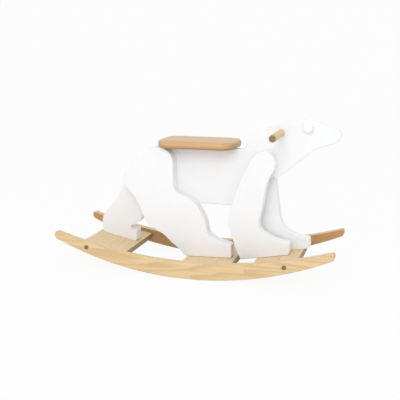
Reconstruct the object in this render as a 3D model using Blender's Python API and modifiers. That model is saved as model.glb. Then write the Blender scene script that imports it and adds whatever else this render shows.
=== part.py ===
"""Rocking polar bear toy: a bear cut from thick boards that stands on two curved runners.

Metres, +Z up. The origin is on the floor, under the middle of the runners and on the centre plane.
+X points to the bear's nose and +Y to its left side. The bear is built in three layers of board: a body with
the torso, neck and head, and on each side of it a haunch and a shoulder, each in one piece with its leg.
The bear's feet are screwed to three slats that are let in between the runners.
"""

import math

import bmesh
import bpy
from mathutils import Matrix, Vector

# Clearance between two pieces that touch
GAP = 0.0003

# Runners
RUNNER_LENGTH = 0.880
RUNNER_THICKNESS = 0.025
RUNNER_SPACING = 0.260
RUNNER_DEPTH = 0.050
RUNNER_TIP_DEPTH = 0.022
ROCKING_RADIUS = 1.048
RUNNER_REST_FLAT = 0.070
RUNNER_TIP_ROUND = 0.008
RUNNER_EDGE_ROUND = 0.002
RUNNER_FACETS = 14

# Slats between the runners: where each starts and ends along X
SLAT_THICKNESS = 0.020
SLAT_DROP = 0.0113
SLAT_EDGE_ROUND = 0.002
REAR_SLAT_X = (-0.3585, -0.2155)
MIDDLE_SLAT_X = (-0.0325, 0.1260)
FRONT_SLAT_X = (0.1920, 0.3280)

# Boards of the bear
BODY_BOARD = 0.019
LEG_BOARD = 0.038
LEG_EDGE_ROUND = 0.003
BODY_EDGE_ROUND = 0.004
BACK_HEIGHT = 0.341
BELLY_HEIGHT = 0.163

# Ears, on the sides of the head
EAR_RADIUS = 0.016
EAR_THICKNESS = 0.016
EAR_EDGE_ROUND = 0.005
EAR_X = 0.333
EAR_HEIGHT = 0.4150

# Seat
SEAT_REAR_X = -0.129
SEAT_LENGTH = 0.249
SEAT_WIDTH = 0.150
SEAT_THICKNESS = 0.024
SEAT_CORNER = 0.045
SEAT_EDGE_ROUND = 0.009
SEAT_UNDERSIDE_ROUND = 0.6

# Handle
HANDLE_DIAMETER = 0.022
HANDLE_LENGTH = 0.305
HANDLE_X = 0.2525
HANDLE_HEIGHT = 0.3945
HANDLE_END_ROUND = 0.003

# Runner screws: how far each is from the end of its slat and above the slat's middle, rear and front
RUNNER_SCREW_INSET = (0.0290, 0.0340)
RUNNER_SCREW_RISE = (0.0055, 0.0030)
RUNNER_SCREW_LENGTH = 0.065
RUNNER_SCREW_SHANK = 0.006
RUNNER_SCREW_HEAD = 0.013
RUNNER_SCREW_HEAD_THICKNESS = 0.0025
RUNNER_SCREW_HEAD_ROUND = 0.0008
RUNNER_SCREW_SOCKET = 0.005
RUNNER_SCREW_SOCKET_DEPTH = 0.0012

# Foot screws, up through the slats, two to a foot
FOOT_SCREW_LENGTH = 0.045
FOOT_SCREW_SHANK = 0.005
FOOT_SCREW_HEAD = 0.010
FOOT_SCREW_X = {"hind_right": (0.005, 0.075), "hind_left": (-0.320, -0.262),
                "fore_right": (0.215, 0.268), "fore_left": (0.235, 0.300)}

# Wooden dowels; those of the haunches and shoulders run through the body into both legs
DOWEL_DIAMETER = 0.008
SLAT_DOWEL_LENGTH = 0.040
SLAT_DOWEL_IN_RUNNER = 0.015
SLAT_DOWEL_X = {"rear": (-0.240,), "middle": (0.000, 0.090), "front": (0.225,)}
SEAT_DOWEL_LENGTH = 0.040
SEAT_DOWEL_X = (-0.085, 0.080)
EAR_DOWEL_LENGTH = 0.031
LEG_DOWEL_LENGTH = 0.057
HAUNCH_DOWELS = ((-0.150, 0.270), (-0.150, 0.200))
SHOULDER_DOWELS = ((0.200, 0.300), (0.180, 0.225))

# Facets
OUTLINE_STEPS = 3
EAR_SIDES = 28
SEAT_CORNER_STEPS = 7
HANDLE_SIDES = 24
SCREW_SIDES = 16
DOWEL_SIDES = 12

# Angles in degrees between faces: rounded as an arris, taken for an edge, and shaded smooth
ARRIS_ANGLE = 60.0
EDGE_ANGLE = 40.0
SMOOTH_ANGLE = 35.0

# Sides of the bear: the sign of Y
SIDES = {"right": -1, "left": 1}

WHITE_PAINT = ("white_paint", (0.90, 0.90, 0.89), 0.42, 0.0)
TAN_WOOD = ("tan_wood", (0.72, 0.52, 0.31), 0.50, 0.0)
PALE_WOOD = ("pale_wood", (0.76, 0.60, 0.40), 0.60, 0.0)
DARK_STEEL = ("dark_steel", (0.16, 0.14, 0.12), 0.45, 0.85)


def clear_scene():
    """Remove every object, so that the script gives the same scene each time."""
    for obj in list(bpy.data.objects):
        bpy.data.objects.remove(obj, do_unlink=True)


def new_collection(name):
    """Make a collection under the scene's own."""
    collection = bpy.data.collections.new(name)
    bpy.context.scene.collection.children.link(collection)
    return collection


def new_material(finish):
    """Make a Principled material from a name, a colour, a roughness and a metallic value."""
    name, colour, roughness, metallic = finish
    material = bpy.data.materials.new(name)
    material.use_nodes = True
    shader = material.node_tree.nodes["Principled BSDF"]
    shader.inputs["Base Color"].default_value = (*colour, 1.0)
    shader.inputs["Roughness"].default_value = roughness
    shader.inputs["Metallic"].default_value = metallic
    return material


def new_part(name, bm, finish, place=(0.0, 0.0, 0.0), turn=(0.0, 0.0, 0.0)):
    """Turn a bmesh into a named part of the toy with its own material."""
    bmesh.ops.recalc_face_normals(bm, faces=bm.faces)
    mesh = bpy.data.meshes.new(name)
    bm.to_mesh(mesh)
    bm.free()
    mesh.materials.append(new_material(finish))
    part = bpy.data.objects.new(name, mesh)
    part.location = place
    part.rotation_euler = turn
    TOY.objects.link(part)
    return part


def shade_round(part):
    """Shade a round piece smooth and keep its sharp edges."""
    part.data.shade_smooth()
    part.data.set_sharp_from_angle(angle=math.radians(SMOOTH_ANGLE))


def add_bevel(part, width, segments, by_weight=False):
    """Round the edges of a part over the given width."""
    bevel = part.modifiers.new("edge_round", "BEVEL")
    bevel.width = width
    bevel.segments = segments
    bevel.limit_method = "WEIGHT" if by_weight else "ANGLE"
    bevel.angle_limit = math.radians(EDGE_ANGLE)
    return bevel


def circle_arc(centre, radius, start, end, steps):
    """Points of an arc in the X and Z plane, from one angle to another in degrees."""
    points = []
    for step in range(steps + 1):
        angle = math.radians(start + (end - start) * step / steps)
        points.append((centre[0] + radius * math.cos(angle), centre[1] + radius * math.sin(angle)))
    return points


def align(axis):
    """Rotation that takes +Z to the given axis."""
    return Vector((0.0, 0.0, 1.0)).rotation_difference(Vector(axis)).to_matrix().to_4x4()


class Cuts:
    """The holes of one part, gathered in one cutter mesh."""

    def __init__(self, name):
        self.name = name
        self.bm = bmesh.new()

    def cone(self, start, axis, start_diameter, end_diameter, depth, sides=DOWEL_SIDES):
        """Add a round hole from a point along an axis, straight or conical."""
        axis = Vector(axis).normalized()
        middle = Vector(start) + axis * depth / 2
        bmesh.ops.create_cone(self.bm, cap_ends=True, segments=sides, radius1=start_diameter / 2,
                              radius2=end_diameter / 2, depth=depth,
                              matrix=Matrix.Translation(middle) @ align(axis))

    def bore(self, start, axis, diameter, depth, sides=DOWEL_SIDES):
        """Add a straight round hole from a point along an axis."""
        self.cone(start, axis, diameter, diameter, depth, sides)

    def cut(self, part):
        """Cut the gathered holes from a part."""
        mesh = bpy.data.meshes.new(self.name)
        self.bm.to_mesh(mesh)
        self.bm.free()
        cutter = bpy.data.objects.new(self.name, mesh)
        cutter.hide_render = True
        cutter.display_type = "WIRE"
        CUTTERS.objects.link(cutter)
        boolean = part.modifiers.new("holes", "BOOLEAN")
        boolean.operation = "DIFFERENCE"
        boolean.solver = "EXACT"
        boolean.object = cutter


# Runner and slat lines

def runner_bottom(x):
    """Height of the runner's bottom arc, which starts at both ends of the rest flat."""
    beyond = max(abs(x), RUNNER_REST_FLAT / 2)
    flat_drop = math.sqrt(ROCKING_RADIUS ** 2 - (RUNNER_REST_FLAT / 2) ** 2)
    return flat_drop - math.sqrt(ROCKING_RADIUS ** 2 - beyond ** 2)


def runner_top_radius():
    """Radius of the top arc, which leaves the stated depths at the middle and at the tips."""
    rise = runner_bottom(RUNNER_LENGTH / 2) + RUNNER_TIP_DEPTH - RUNNER_DEPTH
    return ((RUNNER_LENGTH / 2) ** 2 + rise ** 2) / (2 * rise)


def runner_top(x):
    """Height of the runner's top arc."""
    radius = runner_top_radius()
    return RUNNER_DEPTH + radius - math.sqrt(radius ** 2 - x ** 2)


def slat_slope(slat_x):
    """Slope of a slat, which follows the chord of the runner's top arc."""
    return (runner_top(slat_x[1]) - runner_top(slat_x[0])) / (slat_x[1] - slat_x[0])


def slat_top(slat_x, x):
    """Height of a slat's top face, carried on past its ends."""
    return runner_top(slat_x[0]) - SLAT_DROP + slat_slope(slat_x) * (x - slat_x[0])


def slat_normal(slat_x):
    """Unit normal of a slat's top face."""
    return Vector((-slat_slope(slat_x), 0.0, 1.0)).normalized()


def slat_core(slat_x, x):
    """Point at mid thickness of a slat, below the point of its top face at x."""
    top = Vector((x, 0.0, slat_top(slat_x, x)))
    return top - slat_normal(slat_x) * SLAT_THICKNESS / 2


def stand_height():
    """Height of the middle slat's top, which every height of the bear is counted from."""
    return slat_top(MIDDLE_SLAT_X, sum(MIDDLE_SLAT_X) / 2)


# Outlines of the bear, as points that say whether the outline turns a corner there

def smooth(x, height):
    """Outline point that the edge passes through without a corner."""
    return (x, stand_height() + height, False)


def corner(x, height):
    """Outline point at a corner."""
    return (x, stand_height() + height, True)


def sole(slat_x, x):
    """Corner of a foot on a slat."""
    return (x, slat_top(slat_x, x) + GAP, True)


def seat_front_x():
    """Front end of the seat."""
    return SEAT_REAR_X + SEAT_LENGTH


def rump():
    """From the seat's rear end round the rump."""
    return [corner(SEAT_REAR_X, BACK_HEIGHT), smooth(-0.148, 0.338), smooth(-0.168, 0.3325),
            smooth(-0.191, 0.320), smooth(-0.218, 0.293), smooth(-0.2385, 0.256)]


def hind_leg(side):
    """Rear edge, foot and front edge of a hind leg, from the rump to the thigh."""
    if side == "right":
        return [corner(-0.248, 0.2215), smooth(-0.221, 0.194), smooth(-0.201, 0.167), smooth(-0.189, 0.144),
                smooth(-0.179, 0.118), smooth(-0.160, 0.091), smooth(-0.1365, 0.0755), smooth(-0.113, 0.0635),
                smooth(-0.086, 0.0395), smooth(-0.061, 0.0205), sole(MIDDLE_SLAT_X, -0.0385),
                sole(MIDDLE_SLAT_X, 0.111), corner(0.1095, 0.0455), smooth(0.091, 0.049),
                smooth(0.072, 0.0535), smooth(0.054, 0.061), smooth(0.039, 0.072), smooth(0.032, 0.086),
                smooth(0.029, 0.102), smooth(0.026, 0.116), smooth(0.0185, 0.132), smooth(0.008, 0.150),
                smooth(-0.0075, 0.170)]
    return [smooth(-0.2765, 0.1945), smooth(-0.2915, 0.1615), smooth(-0.310, 0.1365),
            smooth(-0.3325, 0.1135), smooth(-0.3455, 0.0895), smooth(-0.348, 0.067),
            sole(REAR_SLAT_X, -0.3455), sole(REAR_SLAT_X, -0.2265), corner(-0.2245, 0.056),
            smooth(-0.235, 0.0565), smooth(-0.246, 0.0585), smooth(-0.250, 0.063), smooth(-0.243, 0.069),
            smooth(-0.228, 0.0755), smooth(-0.214, 0.086), smooth(-0.203, 0.1045), smooth(-0.186, 0.131),
            smooth(-0.160, 0.151), smooth(-0.125, 0.1635)]


def haunch_front(side):
    """Front edge of a haunch over the body, from the thigh up to the seat."""
    if side == "right":
        thigh = [smooth(-0.0255, 0.1845), smooth(-0.050, 0.1945), smooth(-0.068, 0.203),
                 smooth(-0.076, 0.217)]
    else:
        thigh = [smooth(-0.096, 0.179), smooth(-0.081, 0.207)]
    return thigh + [smooth(-0.078, 0.2405), smooth(-0.078, 0.272), smooth(-0.0785, 0.3005),
                    smooth(-0.0845, 0.3185), smooth(-0.095, 0.331), corner(-0.113, BACK_HEIGHT)]


def foreleg(side):
    """Rear edge, foot and front edge of a foreleg, from the belly to the chest."""
    if side == "right":
        return [smooth(0.1225, 0.205), smooth(0.110, 0.170), smooth(0.103, 0.144), smooth(0.101, 0.1215),
                smooth(0.1035, 0.0995), smooth(0.110, 0.0775), smooth(0.118, 0.056), smooth(0.1255, 0.034),
                sole(FRONT_SLAT_X, 0.141), sole(FRONT_SLAT_X, 0.291), corner(0.2905, 0.0655),
                smooth(0.2665, 0.0675), smooth(0.245, 0.073), smooth(0.2235, 0.082), smooth(0.207, 0.0935),
                smooth(0.1975, 0.1065), smooth(0.1965, 0.1235), smooth(0.1995, 0.1395), smooth(0.204, 0.160),
                smooth(0.2085, 0.1825), smooth(0.212, 0.207), smooth(0.2155, 0.229), smooth(0.2205, 0.249),
                smooth(0.2295, 0.268)]
    return [smooth(0.156, 0.1695), smooth(0.160, 0.1345), smooth(0.1715, 0.094), smooth(0.1915, 0.0605),
            sole(FRONT_SLAT_X, 0.2055), sole(FRONT_SLAT_X, 0.346), corner(0.345, 0.0685),
            smooth(0.325, 0.0705), smooth(0.3045, 0.075), smooth(0.284, 0.084), smooth(0.2705, 0.093),
            smooth(0.2595, 0.1055), smooth(0.253, 0.122), smooth(0.2485, 0.144), smooth(0.2435, 0.1755),
            smooth(0.240, 0.2005), smooth(0.237, 0.2255), smooth(0.2345, 0.250)]


def shoulder_top(side):
    """Top of a shoulder over the body, from the chest back to the belly."""
    top = [smooth(0.2395, 0.288), smooth(0.2425, 0.3095), smooth(0.2345, 0.330), smooth(0.2135, 0.3425),
           smooth(0.189, 0.3365), smooth(0.170, 0.315), smooth(0.155, 0.2865)]
    if side == "right":
        return top + [smooth(0.141, 0.2585), smooth(0.130, 0.230)]
    return top + [smooth(0.149, 0.250), smooth(0.151, 0.210)]


def underside():
    """Underside of the body, whose ends are hidden between the legs, up to the chest."""
    return [corner(-0.248, 0.2215), corner(-0.190, BELLY_HEIGHT), corner(0.188, BELLY_HEIGHT),
            corner(0.203, 0.2555), corner(0.2475, 0.2595)]


def head():
    """Throat, snout, crown and nape, up to the seat's front end."""
    front = seat_front_x()
    return [smooth(0.2625, 0.2705), smooth(0.2935, 0.2965), smooth(0.326, 0.3255),
            smooth(0.3575, 0.348), smooth(0.3925, 0.3615), smooth(0.417, 0.371), smooth(0.429, 0.3845),
            smooth(0.4305, 0.3985), smooth(0.4215, 0.4085), smooth(0.4055, 0.4135), smooth(0.388, 0.418),
            smooth(0.3695, 0.427), smooth(0.3505, 0.433), smooth(0.3215, 0.4355), smooth(0.269, 0.431),
            smooth(0.222, 0.4205), smooth(0.1785, 0.4025), smooth(front + 0.0345, 0.3775),
            corner(front + 0.0195, BACK_HEIGHT)]


def flat_bmesh(name, outline, thickness):
    """Flat blank cut to a closed outline in the X and Y plane, centred on Z = 0."""
    curve = bpy.data.curves.new(name, "CURVE")
    curve.dimensions = "2D"
    curve.fill_mode = "BOTH"
    curve.extrude = thickness / 2
    curve.resolution_u = OUTLINE_STEPS
    spline = curve.splines.new("BEZIER")
    spline.bezier_points.add(len(outline) - 1)
    spline.use_cyclic_u = True
    for point, (x, y, is_corner) in zip(spline.bezier_points, outline):
        point.co = (x, y, 0.0)
        point.handle_left_type = "VECTOR" if is_corner else "AUTO"
        point.handle_right_type = "VECTOR" if is_corner else "AUTO"
    pattern = bpy.data.objects.new(name + "_outline", curve)
    TOY.objects.link(pattern)
    depsgraph = bpy.context.evaluated_depsgraph_get()
    mesh = bpy.data.meshes.new_from_object(pattern.evaluated_get(depsgraph))
    bm = bmesh.new()
    bm.from_mesh(mesh)
    bpy.data.objects.remove(pattern)
    bpy.data.meshes.remove(mesh)
    bmesh.ops.remove_doubles(bm, verts=bm.verts, dist=0.00001)
    bmesh.ops.dissolve_limit(bm, angle_limit=math.radians(0.5), verts=bm.verts, edges=bm.edges)
    return bm


def weigh_arris(bm, axis, level, weight, wanted):
    """Mark the edges that lie wholly at a level along an axis (0 to 2) for the Bevel modifier."""
    weights = bm.edges.layers.float.get("bevel_weight_edge")
    if weights is None:
        weights = bm.edges.layers.float.new("bevel_weight_edge")
    for edge in bm.edges:
        on_level = all(abs(vert.co[axis] - level) < 0.00001 for vert in edge.verts)
        if on_level and edge.calc_face_angle(0.0) > math.radians(ARRIS_ANGLE):
            if wanted((edge.verts[0].co + edge.verts[1].co) / 2):
                edge[weights] = weight


def everywhere(point):
    """An arris that is rounded along its whole length."""
    return True


def free_body_arris(point):
    """Where the body's arrises show: in front of the seat and along the belly."""
    on_belly = abs(point.z - stand_height() - BELLY_HEIGHT) < BODY_EDGE_ROUND / 2
    return point.x > seat_front_x() or on_belly


def board(name, outline, thickness, centre_y):
    """Upright board in the X and Z plane, cut to a closed outline."""
    bm = flat_bmesh(name, outline, thickness)
    bm.transform(Matrix.Translation((0.0, centre_y, 0.0)) @ Matrix.Rotation(math.pi / 2, 4, "X"))
    return bm


def leg_y(side):
    """Middle of a haunch's or shoulder's thickness."""
    return SIDES[side] * (BODY_BOARD / 2 + GAP + LEG_BOARD / 2)


# Places of the screws and dowels, as a point and an axis

def foot_screws():
    """Name, foot, slat, head point and driving direction of each foot screw."""
    slats = {"hind_right": MIDDLE_SLAT_X, "hind_left": REAR_SLAT_X,
             "fore_right": FRONT_SLAT_X, "fore_left": FRONT_SLAT_X}
    places = []
    for foot, slat_x in slats.items():
        side = foot.split("_")[1]
        normal = slat_normal(slat_x)
        for end, x in zip(("rear", "front"), FOOT_SCREW_X[foot]):
            head_point = slat_core(slat_x, x) - normal * (SLAT_THICKNESS / 2 - GAP)
            head_point.y = leg_y(side)
            places.append((f"foot_screw_{foot}_{end}", foot, slat_x, head_point, normal))
    return places


def runner_screws():
    """Name, slat, side and head point of each runner screw."""
    outer = RUNNER_SPACING / 2 + RUNNER_THICKNESS + GAP + RUNNER_SCREW_HEAD_THICKNESS
    ends = (("rear", REAR_SLAT_X, REAR_SLAT_X[0] + RUNNER_SCREW_INSET[0], RUNNER_SCREW_RISE[0]),
            ("front", FRONT_SLAT_X, FRONT_SLAT_X[1] - RUNNER_SCREW_INSET[1], RUNNER_SCREW_RISE[1]))
    places = []
    for end, slat_x, x, rise in ends:
        middle = slat_core(slat_x, x) + slat_normal(slat_x) * rise
        for side, sign in SIDES.items():
            head_point = Vector((middle.x, sign * outer, middle.z))
            places.append((f"runner_screw_{end}_{side}", slat_x, side, head_point))
    return places


def slat_dowels():
    """Name, slat, side and middle of each dowel between a slat and a runner."""
    slats = {"rear": REAR_SLAT_X, "middle": MIDDLE_SLAT_X, "front": FRONT_SLAT_X}
    joint_y = RUNNER_SPACING / 2 + SLAT_DOWEL_IN_RUNNER - SLAT_DOWEL_LENGTH / 2
    places = []
    for slat, slat_x in slats.items():
        for number, x in enumerate(SLAT_DOWEL_X[slat], 1):
            middle = slat_core(slat_x, x)
            for side, sign in SIDES.items():
                places.append((f"slat_dowel_{slat}_{number}_{side}", slat_x, side,
                               Vector((middle.x, sign * joint_y, middle.z))))
    return places


def seat_dowels():
    """Name and middle of each dowel between the seat and the body."""
    back = stand_height() + BACK_HEIGHT
    middle_z = back + SEAT_THICKNESS / 2 - SEAT_DOWEL_LENGTH / 2
    return [("seat_dowel_" + end, Vector((x, 0.0, middle_z)))
            for end, x in zip(("rear", "front"), SEAT_DOWEL_X)]


def leg_dowels():
    """Name, piece and middle of each dowel that runs through the body into both legs."""
    places = []
    for piece, dowels in (("haunch", HAUNCH_DOWELS), ("shoulder", SHOULDER_DOWELS)):
        for end, (x, height) in zip(("upper", "lower"), dowels):
            places.append((f"{piece}_dowel_{end}", piece, Vector((x, 0.0, stand_height() + height))))
    return places


def ear_dowel_middle():
    """Middle of the dowel that runs through the head into both ears."""
    return Vector((EAR_X, 0.0, stand_height() + EAR_HEIGHT))


def cross_bore(cuts, middle, length, diameter=DOWEL_DIAMETER, sides=DOWEL_SIDES):
    """Bore along Y for a dowel, from a little past one end to a little past the other."""
    start = middle - Vector((0.0, length / 2 + GAP, 0.0))
    cuts.bore(start, (0.0, 1.0, 0.0), diameter + 2 * GAP, length + 2 * GAP, sides)


# Pieces

def build_runner(side):
    """Runner sawn to two arcs, with round tips and bores for its screws and dowels."""
    tip = RUNNER_LENGTH / 2
    reach = tip - RUNNER_TIP_ROUND
    arc_start = RUNNER_REST_FLAT / 2
    front = [arc_start + (reach - arc_start) * step / RUNNER_FACETS for step in range(RUNNER_FACETS + 1)]
    stations = [-x for x in reversed(front)] + front
    tip_middle = (runner_bottom(reach) + runner_top(reach)) / 2
    outline = [(x, runner_bottom(x), True) for x in stations] + [(tip, tip_middle, False)]
    outline += [(x, runner_top(x), True) for x in reversed(stations)] + [(-tip, tip_middle, False)]
    sign = SIDES[side]
    inner_y = sign * RUNNER_SPACING / 2
    runner = new_part("runner_" + side, board("runner_" + side, outline, RUNNER_THICKNESS,
                                              inner_y + sign * RUNNER_THICKNESS / 2), TAN_WOOD)
    add_bevel(runner, RUNNER_EDGE_ROUND, 2)
    shade_round(runner)
    cuts = Cuts("runner_holes_" + side)
    for name, slat_x, screw_side, head_point in runner_screws():
        if screw_side == side:
            cuts.bore(head_point, (0.0, -sign, 0.0), RUNNER_SCREW_SHANK + 2 * GAP, RUNNER_SCREW_LENGTH,
                      SCREW_SIDES)
    for name, slat_x, dowel_side, middle in slat_dowels():
        if dowel_side == side:
            cross_bore(cuts, middle, SLAT_DOWEL_LENGTH)
    cuts.cut(runner)


def build_slat(name, slat_x):
    """Slat between the runners, with bores for the screws and dowels that hold it and the feet."""
    centre = slat_core(slat_x, sum(slat_x) / 2)
    width = (slat_x[1] - slat_x[0]) * math.hypot(1.0, slat_slope(slat_x))
    bm = bmesh.new()
    bmesh.ops.create_cube(bm, size=1.0)
    bmesh.ops.scale(bm, vec=(width, RUNNER_SPACING - 2 * GAP, SLAT_THICKNESS), verts=bm.verts)
    slat = new_part("slat_" + name, bm, PALE_WOOD, centre, (0.0, -math.atan(slat_slope(slat_x)), 0.0))
    add_bevel(slat, SLAT_EDGE_ROUND, 2)
    shade_round(slat)
    cuts = Cuts("slat_holes_" + name)
    for screw, foot, screw_slat, head_point, axis in foot_screws():
        if screw_slat == slat_x:
            cut_countersink(cuts, head_point, axis)
    for screw, screw_slat, side, head_point in runner_screws():
        if screw_slat == slat_x:
            cuts.bore(head_point, (0.0, -SIDES[side], 0.0), RUNNER_SCREW_SHANK + 2 * GAP,
                      RUNNER_SCREW_HEAD_THICKNESS + RUNNER_SCREW_LENGTH + GAP, SCREW_SIDES)
    for dowel, dowel_slat, side, middle in slat_dowels():
        if dowel_slat == slat_x:
            cross_bore(cuts, middle, SLAT_DOWEL_LENGTH)
    cuts.cut(slat)


def cut_countersink(cuts, head_point, axis):
    """Countersink under a foot screw's head and the bore for its shank."""
    sink = (FOOT_SCREW_HEAD - FOOT_SCREW_SHANK) / 2
    mouth = head_point - axis * 4 * GAP
    cuts.cone(mouth, axis, FOOT_SCREW_HEAD + 8 * GAP, FOOT_SCREW_SHANK, sink + 6 * GAP, SCREW_SIDES)
    cuts.bore(mouth + axis * sink, axis, FOOT_SCREW_SHANK + 2 * GAP, FOOT_SCREW_LENGTH, SCREW_SIDES)


def seat_dowel_bores(cuts):
    """Bores for the dowels between the seat and the body."""
    for name, middle in seat_dowels():
        top = middle + Vector((0.0, 0.0, SEAT_DOWEL_LENGTH / 2 + GAP))
        cuts.bore(top, (0.0, 0.0, -1.0), DOWEL_DIAMETER + 2 * GAP, SEAT_DOWEL_LENGTH + 2 * GAP)


def build_body():
    """Middle board with the torso, neck and head."""
    bm = board("body", rump() + underside() + head(), BODY_BOARD, 0.0)
    for sign in SIDES.values():
        weigh_arris(bm, 1, sign * BODY_BOARD / 2, 1.0, free_body_arris)
    body = new_part("body", bm, WHITE_PAINT)
    add_bevel(body, BODY_EDGE_ROUND, 2, by_weight=True)
    shade_round(body)
    cuts = Cuts("body_holes")
    handle_middle = Vector((HANDLE_X, 0.0, stand_height() + HANDLE_HEIGHT))
    cross_bore(cuts, handle_middle, 2 * BODY_BOARD, HANDLE_DIAMETER, HANDLE_SIDES)
    cross_bore(cuts, ear_dowel_middle(), EAR_DOWEL_LENGTH)
    for name, piece, middle in leg_dowels():
        cross_bore(cuts, middle, LEG_DOWEL_LENGTH)
    seat_dowel_bores(cuts)
    cuts.cut(body)


def build_leg_board(piece, side, outline, leg):
    """Haunch or shoulder: the board of a leg, which overlaps the body at its top."""
    sign = SIDES[side]
    bm = board(piece, outline, LEG_BOARD, leg_y(side))
    weigh_arris(bm, 1, leg_y(side) + sign * LEG_BOARD / 2, 1.0, everywhere)
    part = new_part(piece + "_" + side, bm, WHITE_PAINT)
    add_bevel(part, LEG_EDGE_ROUND, 2, by_weight=True)
    shade_round(part)
    cuts = Cuts(piece + "_holes_" + side)
    for name, dowel_piece, middle in leg_dowels():
        if dowel_piece == piece:
            cross_bore(cuts, middle, LEG_DOWEL_LENGTH)
    for name, foot, slat_x, head_point, axis in foot_screws():
        if foot == leg + "_" + side:
            cuts.bore(head_point, axis, FOOT_SCREW_SHANK + 2 * GAP, FOOT_SCREW_LENGTH + GAP, SCREW_SIDES)
    cuts.cut(part)


def build_ear(side):
    """Round ear with a soft outer edge, on the side of the head."""
    sign = SIDES[side]
    middle = ear_dowel_middle()
    rim = circle_arc((middle.x, middle.z), EAR_RADIUS, 0.0, 360.0, EAR_SIDES)[:-1]
    middle_y = sign * (BODY_BOARD / 2 + GAP + EAR_THICKNESS / 2)
    bm = board("ear_" + side, [(x, z, True) for x, z in rim], EAR_THICKNESS, middle_y)
    weigh_arris(bm, 1, middle_y + sign * EAR_THICKNESS / 2, 1.0, everywhere)
    ear = new_part("ear_" + side, bm, WHITE_PAINT)
    add_bevel(ear, EAR_EDGE_ROUND, 3, by_weight=True)
    shade_round(ear)
    cuts = Cuts("ear_holes_" + side)
    cross_bore(cuts, middle, EAR_DOWEL_LENGTH)
    cuts.cut(ear)


def build_seat():
    """Seat board with round corners and round edges, flat on the bear's back."""
    half_length = SEAT_LENGTH / 2
    half_width = SEAT_WIDTH / 2
    centre_x = SEAT_REAR_X + half_length
    outline = []
    for sign_x, sign_y, start in ((1, 1, 0), (-1, 1, 90), (-1, -1, 180), (1, -1, 270)):
        middle = (sign_x * (half_length - SEAT_CORNER), sign_y * (half_width - SEAT_CORNER))
        outline += [(x, y, True) for x, y in circle_arc(middle, SEAT_CORNER, start, start + 90,
                                                         SEAT_CORNER_STEPS)]
    bm = flat_bmesh("seat", outline, SEAT_THICKNESS)
    back = stand_height() + BACK_HEIGHT
    weigh_arris(bm, 2, SEAT_THICKNESS / 2, 1.0, everywhere)
    weigh_arris(bm, 2, -SEAT_THICKNESS / 2, SEAT_UNDERSIDE_ROUND, everywhere)
    bm.transform(Matrix.Translation((centre_x, 0.0, back + GAP + SEAT_THICKNESS / 2)))
    seat = new_part("seat", bm, TAN_WOOD)
    add_bevel(seat, SEAT_EDGE_ROUND, 3, by_weight=True)
    shade_round(seat)
    cuts = Cuts("seat_holes")
    seat_dowel_bores(cuts)
    cuts.cut(seat)


def rod(name, middle, axis, diameter, length, sides, finish):
    """Round wooden rod or dowel about a middle point."""
    bm = bmesh.new()
    bmesh.ops.create_cone(bm, cap_ends=True, segments=sides, radius1=diameter / 2, radius2=diameter / 2,
                          depth=length, matrix=Matrix.Translation(middle) @ align(axis))
    part = new_part(name, bm, finish)
    shade_round(part)
    return part


def build_handle():
    """Handle rod through the neck, with round ends."""
    handle = rod("handle", Vector((HANDLE_X, 0.0, stand_height() + HANDLE_HEIGHT)), (0.0, 1.0, 0.0),
                 HANDLE_DIAMETER, HANDLE_LENGTH, HANDLE_SIDES, TAN_WOOD)
    add_bevel(handle, HANDLE_END_ROUND, 2)


def build_dowels():
    """Hidden dowels between the boards, the ears, the seat, the slats and the runners."""
    across = (0.0, 1.0, 0.0)
    for name, slat_x, side, middle in slat_dowels():
        rod(name, middle, across, DOWEL_DIAMETER, SLAT_DOWEL_LENGTH, DOWEL_SIDES, PALE_WOOD)
    for name, middle in seat_dowels():
        rod(name, middle, (0.0, 0.0, -1.0), DOWEL_DIAMETER, SEAT_DOWEL_LENGTH, DOWEL_SIDES, PALE_WOOD)
    for name, piece, middle in leg_dowels():
        rod(name, middle, across, DOWEL_DIAMETER, LEG_DOWEL_LENGTH, DOWEL_SIDES, PALE_WOOD)
    rod("ear_dowel", ear_dowel_middle(), across, DOWEL_DIAMETER, EAR_DOWEL_LENGTH, DOWEL_SIDES, PALE_WOOD)


def turned(name, profile, head, axis, finish):
    """Turned piece whose profile, as (radius, height) from top to bottom, is spun about its axis."""
    bm = bmesh.new()
    verts = [bm.verts.new((radius, 0.0, height)) for radius, height in profile]
    for upper, lower in zip(verts, verts[1:]):
        bm.edges.new((upper, lower))
    part = new_part(name, bm, finish)
    part.matrix_world = Matrix.Translation(head) @ align(-Vector(axis))
    screw = part.modifiers.new("turned", "SCREW")
    screw.steps = SCREW_SIDES
    screw.render_steps = SCREW_SIDES
    screw.use_merge_vertices = True
    screw.merge_threshold = 0.00001
    return part


def build_screws():
    """Foot screws with sunk heads, and runner screws whose flat heads show on the runners."""
    shank = FOOT_SCREW_SHANK / 2
    rim = FOOT_SCREW_HEAD / 2
    foot_profile = ((0.0, 0.0), (rim, 0.0), (shank, shank - rim), (shank, shank * 2 - FOOT_SCREW_LENGTH),
                    (0.0, -FOOT_SCREW_LENGTH))
    for name, foot, slat_x, head_point, axis in foot_screws():
        turned(name, foot_profile, head_point, axis, DARK_STEEL)
    shank = RUNNER_SCREW_SHANK / 2
    rim = RUNNER_SCREW_HEAD / 2
    socket = RUNNER_SCREW_SOCKET / 2
    floor = -RUNNER_SCREW_SOCKET_DEPTH
    under = -RUNNER_SCREW_HEAD_THICKNESS
    tip = under - RUNNER_SCREW_LENGTH
    runner_profile = ((0.0, floor), (socket, floor), (socket, 0.0), (rim - RUNNER_SCREW_HEAD_ROUND, 0.0),
                      (rim, -RUNNER_SCREW_HEAD_ROUND), (rim, under), (shank, under), (shank, tip + shank),
                      (0.0, tip))
    for name, slat_x, side, head_point in runner_screws():
        turned(name, runner_profile, head_point, (0.0, -SIDES[side], 0.0), DARK_STEEL)


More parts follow.
